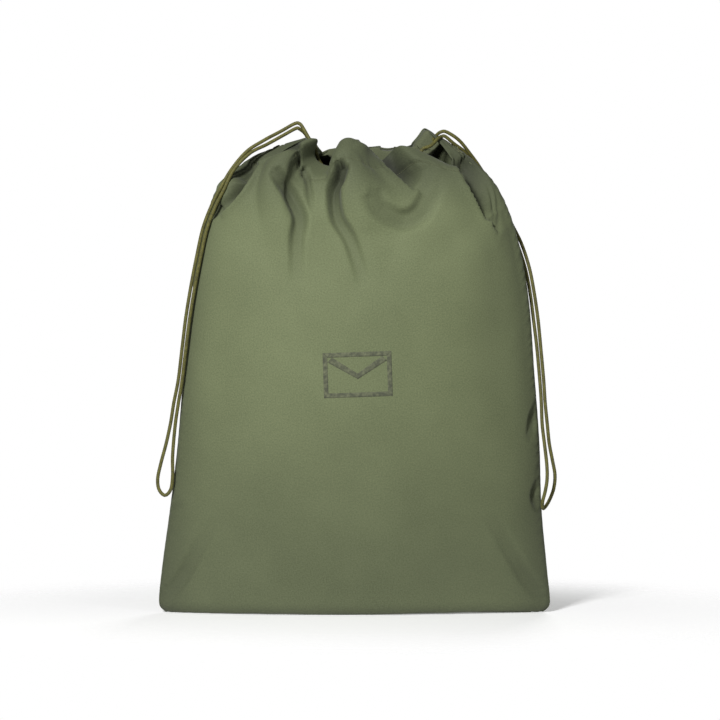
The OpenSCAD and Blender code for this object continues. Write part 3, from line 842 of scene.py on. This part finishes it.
def make_side_seam(side, name):
    """The folded allowances inside a side seam, their stitches, and the bar tacks that end the seam."""
    column = 0 if side < 0 else -1
    beside = (1, 3) if side < 0 else (-2, -4)
    front, back = cloth_grids[-1], cloth_grids[1]
    top = front.shape[0] - 1 - OPEN_ROWS * FINER
    line = front[6:top, column]
    along = np.gradient(line, axis=0)
    inward = np.cross(along, [0.0, -side, 0.0])
    inward[:, 1] = 0
    inward /= np.linalg.norm(inward, axis=1)[:, None]
    if (inward[:, 0] * side).mean() > 0:
        inward = -inward
    width = smooth(np.arange(len(line))[::-1] / 30)[:, None]
    depth = np.array([0, ALLOWANCE_HALF, 0]) * (0.25 + 0.75 * width)
    reach = ALLOWANCE_TOP + (ALLOWANCE_TO - ALLOWANCE_TOP) * width
    near, far = line + ALLOWANCE_FROM * inward, line + reach * inward

    def inside(panel, way, share):
        return (1 - share) * panel[6:top, beside[0], 1] + share * panel[6:top, beside[1], 1] - way * ALLOWANCE_GAP

    for edge, share in ((near, 0), (far, (reach[:, 0] - ALLOWANCE_FROM) / (ALLOWANCE_TO - ALLOWANCE_FROM))):
        low, high = inside(front, -1, share), inside(back, 1, share)
        edge[:, 1] = np.where(low < high, np.clip(line[:, 1], low, high), (low + high) / 2)
    ring = np.stack([near - depth, near + depth, far + depth, far - depth], 1)
    faces = grid_faces(len(line), 4, wrap=True) + [(3, 2, 1, 0), tuple(4 * (len(line) - 1) + k for k in range(4))]
    allowance = new_mesh(f"{name}_allowance", ring.reshape(-1, 3), faces, False)
    belongs(allowance, f"{name}_side_seam")
    sewing = (0.65 * near + 0.35 * far - depth * 1.1)[:-20]
    sewn = bars(f"{name}_seam_stitches", stitches(sewing, SEAM_PITCH, SEAM_STITCH), THREAD_R, 6)
    belongs(sewn, f"{name}_side_stitching")
    tacks = []
    front_out, back_out = outward(front, -1), outward(back, 1)
    for row in (top - 1, top - 3):
        places = [front[row, k] for k in beside[::-1]] + [front[row, column]] + [back[row, k] for k in beside]
        lift = [front_out[row, k] for k in beside[::-1]] + [-inward[-1]] + [back_out[row, k] for k in beside]
        tack = np.array(places) + 0.0006 * np.array(lift)
        tacks.append(evenly(spline(tack, np.linspace(0, 4, 40)), 24))
    piece = bars(f"{name}_tacks", tacks, TACK_R)
    belongs(piece, f"{name}_bar_tacks")
    return allowance, sewn, piece


MARK_W, MARK_H, MARK_LINE = 104, 68, 7  # the envelope and its line, in millimetres
MARK_AT = (5, 369)
MARK_TILT = math.radians(2)
INK_T = 0.00025
STROKE_STEPS = (40, 5)  # points along a stroke and across it


def mark_strokes():
    """The corners of each stroke of a closed envelope, in millimetres from its middle: two at each end."""
    ax, az = MARK_W / 2, MARK_H / 2
    bx, bz = ax - MARK_LINE, az - MARK_LINE
    tip = -MARK_H * 0.10
    strokes = []
    for s in (-1, 1):
        strokes.append(((-bx, s * bz), (-ax, s * az), (bx, s * bz), (ax, s * az)))
        strokes.append(((s * bx, -bz), (s * ax, -az), (s * bx, bz), (s * ax, az)))
        strokes.append(((0, tip), (0, tip + MARK_LINE * 1.2), (s * bx, bz - MARK_LINE), (s * (bx - MARK_LINE), bz)))
    return strokes


def make_print():
    """Ink on the front cloth, as a thin layer that follows it."""
    grid = cloth_grids[-1]
    quads = grid_faces(*grid.shape[:2])
    tree = BVHTree.FromPolygons([Vector(p) for p in grid.reshape(-1, 3)], quads)
    points, faces = [], []
    start = 0
    for corners in mark_strokes():
        a, b, c, d = (np.array(p, float) for p in corners)
        on = np.zeros((*STROKE_STEPS, 3))
        normals = np.zeros_like(on)
        for i, f in enumerate(np.linspace(0, 1, STROKE_STEPS[0])):
            for k, g in enumerate(np.linspace(0, 1, STROKE_STEPS[1])):
                x, z = (1 - g) * (a + (c - a) * f) + g * (b + (d - b) * f)
                over = (MARK_AT[0] + x * math.cos(MARK_TILT) - z * math.sin(MARK_TILT)) * MM
                up = (MARK_AT[1] + x * math.sin(MARK_TILT) + z * math.cos(MARK_TILT)) * MM
                hit, normal, _, _ = tree.ray_cast(Vector((over, -0.5, up)), Vector((0, 1, 0)))
                on[i, k] = hit
                normals[i, k] = normal if normal.y < 0 else -normal
        stroke_points, stroke_faces = closed_sheet(on + normals * INK_T * 0.7, normals, INK_T, start)
        start += len(stroke_points)
        points.append(stroke_points)
        faces += stroke_faces.tolist()
    piece = new_mesh("envelope_print", np.concatenate(points), faces)
    belongs(piece, "printed_mark")
    return piece


threads = [left_splice, right_splice, make_casing_stitches(-1, "front"), make_casing_stitches(1, "back")]
allowances = []
for side, name in ((-1, "left"), (1, "right")):
    allowance, sewn, tacks = make_side_seam(side, name)
    allowances.append(allowance)
    threads += [sewn, tacks]
envelope = make_print()


# ---- materials

def material(name, colour, roughness, sheen=0.0):
    m = bpy.data.materials.new(name)
    m.use_nodes = True
    shader = m.node_tree.nodes["Principled BSDF"]
    for key, value in (("Base Color", (*colour, 1)), ("Roughness", roughness), ("Sheen Weight", sheen)):
        shader.inputs[key].default_value = value
    return m, m.node_tree, shader


def give(piece, m):
    piece.data.materials.clear()
    piece.data.materials.append(m)


def join(tree, *links):
    """Links nodes, each link given as a node, its output, the next node and its input."""
    for node, output, following, socket in links:
        tree.links.new(node.outputs[output], following.inputs[socket])


def add(tree, kind, **values):
    """A new shader node, with its inputs and properties set by name."""
    node = tree.nodes.new("ShaderNode" + kind)
    for key, value in values.items():
        if key in node.inputs:
            node.inputs[key].default_value = value
        else:
            setattr(node, key, value)
    return node


def two_tone(tree, dark, light, low, high):
    """A ramp from a dark to a light colour between two values."""
    ramp = add(tree, "ValToRGB")
    for element, colour, position in zip(ramp.color_ramp.elements, (dark, light), (low, high)):
        element.position = position
        element.color = (*colour, 1)
    return ramp


def cloth_material(name, dark, light, roughness):
    """Cotton sateen: a fine diagonal weave, speckled yarn, and broad uneven dye, darkened by the painted shade stored
    on the cloth.
    """
    m, tree, shader = material(name, light, roughness, sheen=0.08)
    place = add(tree, "UVMap", uv_map="Cut")
    broad = add(tree, "TexNoise", Scale=7.0, Detail=3.0, Roughness=0.6)
    speckle = add(tree, "TexNoise", Scale=420.0, Detail=3.0, Roughness=0.75)
    mixed = add(tree, "Math", operation="MULTIPLY_ADD")
    mixed.inputs[1].default_value = 0.36
    ramp = two_tone(tree, dark, light, 0.50, 0.86)
    weave = add(tree, "TexWave", Scale=520.0, Distortion=1.2, bands_direction="DIAGONAL")
    bump = add(tree, "Bump", Strength=0.25, Distance=0.0004)
    grain = add(tree, "Bump", Strength=0.35, Distance=0.0006)
    join(tree, *((place, "UV", texture, "Vector") for texture in (broad, speckle, weave)))
    join(tree, (broad, "Fac", mixed, 0), (speckle, "Fac", mixed, 2), (mixed, 0, ramp, "Fac"))
    # painted shade: the colour is scaled by one minus the cloth's painted shade attribute
    shade_attribute = add(tree, "Attribute", attribute_name="painted_shade")
    left = add(tree, "Math", operation="SUBTRACT")
    left.inputs[0].default_value = 1
    darker = add(tree, "VectorMath", operation="SCALE")
    join(
        tree, (shade_attribute, "Fac", left, 1), (ramp, "Color", darker, 0), (left, 0, darker, "Scale"),
        (darker, "Vector", shader, "Base Color"), (weave, "Fac", bump, "Height"),
        (speckle, "Fac", grain, "Height"), (bump, "Normal", grain, "Normal"),
        (grain, "Normal", shader, "Normal"),
    )
    return m


def braid_material():
    """Olive cotton braid: colour from the braid's relief, with painted shade in the grooves and paler strand crests,
    and darker flecks.
    """
    m, tree, shader = material("braid", (0.19, 0.175, 0.055), 0.7, sheen=0.05)
    relief = add(tree, "Attribute", attribute_name="relief")
    fleck = add(tree, "TexNoise", Scale=300.0, Detail=2.0)
    place = add(tree, "TexCoord")
    # painted shade: the ramp darkens the braid's grooves almost to black by the relief attribute
    ramp = two_tone(tree, (0.016, 0.016, 0.004), (0.190, 0.179, 0.030), 0.38, 0.95)
    both = add(tree, "Math", operation="MULTIPLY_ADD")
    both.inputs[1].default_value = 0.5
    bump = add(tree, "Bump", Strength=0.4, Distance=0.0004)
    join(tree, (place, "Object", fleck, "Vector"), (fleck, "Fac", both, 0))
    half = add(tree, "Math", operation="MULTIPLY")
    half.inputs[1].default_value = 0.62
    join(
        tree, (relief, "Fac", half, 0), (half, 0, both, 2), (both, 0, ramp, "Fac"),
        (ramp, "Color", shader, "Base Color"), (fleck, "Fac", bump, "Height"),
        (bump, "Normal", shader, "Normal"),
    )
    return m


def flecked(name, dark, light, scale, roughness, low=0.35, high=0.75):
    """A material whose colour and surface vary in fine flecks."""
    m, tree, shader = material(name, light, roughness, sheen=0.1)
    place = add(tree, "TexCoord")
    noise = add(tree, "TexNoise", Scale=scale, Detail=4.0, Roughness=0.7)
    ramp = two_tone(tree, dark, light, low, high)
    bump = add(tree, "Bump", Strength=0.3, Distance=0.0003)
    join(
        tree, (place, "Object", noise, "Vector"), (noise, "Fac", ramp, "Fac"),
        (ramp, "Color", shader, "Base Color"), (noise, "Fac", bump, "Height"),
        (bump, "Normal", shader, "Normal"),
    )
    return m


CLOTH = cloth_material("cloth", (0.108, 0.130, 0.058), (0.169, 0.198, 0.095), 0.78)
# the turned hems: the same cotton, rougher, in darker colours that paint shade onto the inside of the mouth
INSIDE_CLOTH_PAINTED_SHADE = cloth_material("cloth_inside", (0.070, 0.081, 0.040), (0.108, 0.121, 0.063), 0.9)
BRAID = braid_material()
THREAD = flecked("thread", (0.060, 0.066, 0.026), (0.125, 0.135, 0.062), 900.0, 0.7)
INK = flecked("ink", (0.062, 0.068, 0.042), (0.150, 0.164, 0.092), 160.0, 0.85, 0.40, 0.72)

for pieces, look in (
    ([*cloth_panels.values(), *allowances], CLOTH),
    (hems, INSIDE_CLOTH_PAINTED_SHADE),
    ([left_cord, right_cord, *left_inside, *right_inside], BRAID),
    (threads, THREAD),
    ([envelope], INK),
):
    for piece in pieces:
        give(piece, look)

CAD_LOOK = {"cloth": CLOTH, "cloth_inside": INSIDE_CLOTH_PAINTED_SHADE, "thread": THREAD, "braid": BRAID, "ink": INK}
for row in frame["record"]["subparts"]:
    node = bpy.data.objects.get(row["node"])
    if node:
        give(node, CAD_LOOK[row["material_slot"]])


# ---- studio

FLOOR_HALF = 1.6
FLOOR_GLOW = 0.20
FLOOR_FADE = (0.22, 0.62)  # the floor fades out between these distances from the sack,
FLOOR_LONG = 0.72  # which are longer to the left and right by this
WORLD_GLOW = 0.14
LIGHTS_AT = Vector((0, 0, 0.42))
LIGHTS = (
    ("key", (-1.02, -2.62, 1.95), 115, 0.5),
    ("fill", (2.2, -2.4, 0.9), 14, 1.2),
    ("back", (0.8, 3.0, 0.5), 52, 1.2),
)


def make_floor():
    """A pale floor that keeps the sack's shadow and fades into the white beyond it."""
    h = FLOOR_HALF
    floor = new_mesh("floor", [(-h, -h, 0), (h, -h, 0), (h, h, 0), (-h, h, 0)], [(0, 1, 2, 3)], False)
    look, tree, shader = material("floor", (0.88, 0.88, 0.88), 0.9)
    shader.inputs["Emission Color"].default_value = (1, 1, 1, 1)
    shader.inputs["Emission Strength"].default_value = FLOOR_GLOW
    place = add(tree, "TexCoord")
    flat = add(tree, "Mapping", Scale=(FLOOR_LONG, 1, 1))
    far = add(tree, "VectorMath", operation="LENGTH")
    fade = add(tree, "MapRange", interpolation_type="SMOOTHSTEP")
    fade.inputs["From Min"].default_value, fade.inputs["From Max"].default_value = FLOOR_FADE
    clear = add(tree, "BsdfTransparent")
    both = add(tree, "MixShader")
    join(
        tree, (place, "Object", flat, "Vector"), (flat, "Vector", far, 0), (far, "Value", fade, "Value"),
        (fade, "Result", both, 0), (shader, 0, both, 1), (clear, 0, both, 2),
        (both, 0, tree.nodes["Material Output"], "Surface"),
    )
    give(floor, look)


def make_world():
    """Even white light, weak on the sack and plain white behind it."""
    world = bpy.data.worlds.new("studio")
    world.use_nodes = True
    tree = world.node_tree
    back = tree.nodes["Background"]
    seen = add(tree, "Background")
    for node, glow in ((back, WORLD_GLOW), (seen, 1.0)):
        node.inputs["Color"].default_value = (1, 1, 1, 1)
        node.inputs["Strength"].default_value = glow
    path = add(tree, "LightPath")
    mix = add(tree, "MixShader")
    join(
        tree, (path, "Is Camera Ray", mix, 0), (back, 0, mix, 1), (seen, 0, mix, 2),
        (mix, 0, tree.nodes["World Output"], "Surface"),
    )
    scene.world = world


def make_lights():
    for name, place, watts, size in LIGHTS:
        data = bpy.data.lights.new(name, "AREA")
        data.energy = watts
        data.size = size
        light = bpy.data.objects.new(name, data)
        scene.collection.objects.link(light)
        light.location = place
        light.rotation_euler = (LIGHTS_AT - light.location).to_track_quat("-Z", "Y").to_euler()


make_floor()
make_world()
make_lights()
scene.view_settings.view_transform = "Standard"
